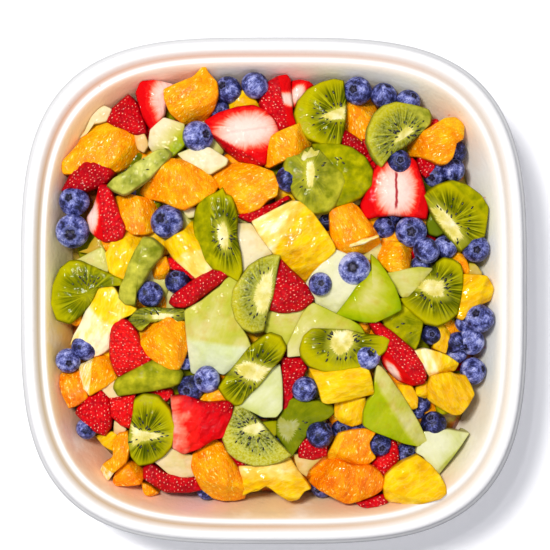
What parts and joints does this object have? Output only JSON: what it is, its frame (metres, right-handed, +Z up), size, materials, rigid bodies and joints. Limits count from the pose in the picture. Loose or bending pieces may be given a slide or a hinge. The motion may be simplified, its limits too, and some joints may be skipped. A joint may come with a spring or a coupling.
{
  "type": "fruit salad in a moulded-fibre bowl",
  "caption": "Fruit salad of cut kiwi, orange, pineapple, melon and strawberries with blueberries, heaped in a square moulded-fibre bowl with a rolled rim.",
  "frame": {"origin": "middle of the bowl's flat base, which is the bottom of the bounding box", "axes": "+Z up, out of the bowl's mouth; +X and +Y across the two sides of the square bowl"},
  "size_m": [0.281, 0.281, 0.0763],
  "materials": {
    "moulded_fibre": "matte",
    "fresh_fruit": "satin"
  },
  "bodies": {
    "root": {"fibre_bowl": "moulded_fibre", "fruit_heap": "fresh_fruit"}
  },
  "joints": []
}
